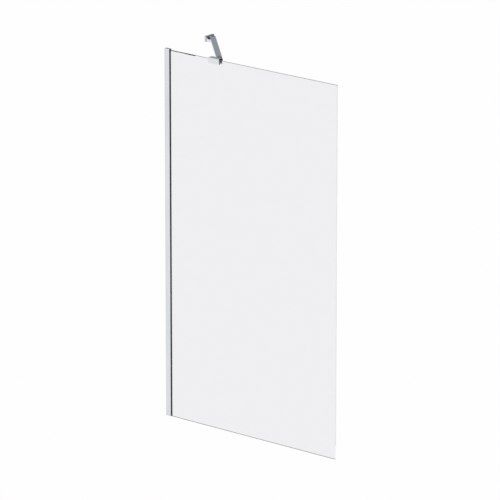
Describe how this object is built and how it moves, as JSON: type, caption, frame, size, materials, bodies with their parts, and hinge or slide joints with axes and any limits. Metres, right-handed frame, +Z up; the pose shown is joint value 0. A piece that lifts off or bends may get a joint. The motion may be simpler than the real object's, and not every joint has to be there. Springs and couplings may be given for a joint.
{
  "type": "bath screen",
  "caption": "Fixed clear glass bath screen in an upright wall channel, held at the top by a swivelling brace from a glass clamp to a wall bracket.",
  "frame": {"origin": "on the wall plane at the foot of the channel, on the centre line of the glass", "axes": "+X out from the wall along the glass, +Y to the side of the brace, +Z up"},
  "size_m": [0.8, 0.2765, 1.4065],
  "materials": {
    "bright_aluminium": "polished and anodised bright silver",
    "chrome": "bright chrome plate",
    "clear_glass": "clear toughened, polished edges",
    "black_rubber": "matt black extruded strip",
    "grey_rubber": "matt grey sheet",
    "steel": "bright stainless steel",
    "nylon": "natural moulded nylon",
    "grey_plastic": "dark grey moulded plastic",
    "black_plastic": "black moulded plastic"
  },
  "bodies": {
    "wall_channel_set": {"wall_channel": "bright_aluminium", "channel_top_cap": "chrome", "channel_bottom_cap": "bright_aluminium", "front_glazing_gasket": "black_rubber", "rear_glazing_gasket": "black_rubber", "glass_packers": "nylon"},
    "panel": {"glass_panel": "clear_glass"},
    "clamp": {"clamp_body": "chrome", "clamp_end_cap_wall_side": "black_plastic", "clamp_end_cap_free_side": "black_plastic", "clamp_front_pad": "grey_rubber", "clamp_rear_pad": "grey_rubber", "clamp_top_pad": "grey_rubber", "clamp_pressure_plate": "steel", "clamp_grub_screws": "steel", "clamp_pivot_screw": "steel", "clamp_pivot_washer": "nylon"},
    "brace": {"brace_tube": "chrome", "brace_plug_clamp_end": "grey_plastic", "brace_plug_wall_end": "grey_plastic"},
    "wall_bracket": {"wall_bracket_cover": "chrome", "wall_bracket_base": "steel", "wall_bracket_grub_screw": "steel", "wall_pivot_screw": "steel", "wall_pivot_washer": "nylon"}
  },
  "joints": [
    {"name": "panel_adjust", "type": "slide", "parent": "wall_channel_set", "child": "panel", "axis": [1, 0, 0], "range_m": [0, 0.006]},
    {"name": "clamp_slide", "type": "slide", "parent": "panel", "child": "clamp", "axis": [1, 0, 0], "range_m": [-0.06, 0.045]},
    {"name": "brace_swivel", "type": "hinge", "parent": "clamp", "child": "brace", "pos_m": [0.2323, 0.025, 1.3955], "axis": [0, 0, 1], "range_deg": [-45, 15]},
    {"name": "bracket_swivel", "type": "hinge", "parent": "brace", "child": "wall_bracket", "pos_m": [0.0304, 0.2304, 1.3955], "axis": [0, 0, 1], "range_deg": [-45, 45]}
  ]
}
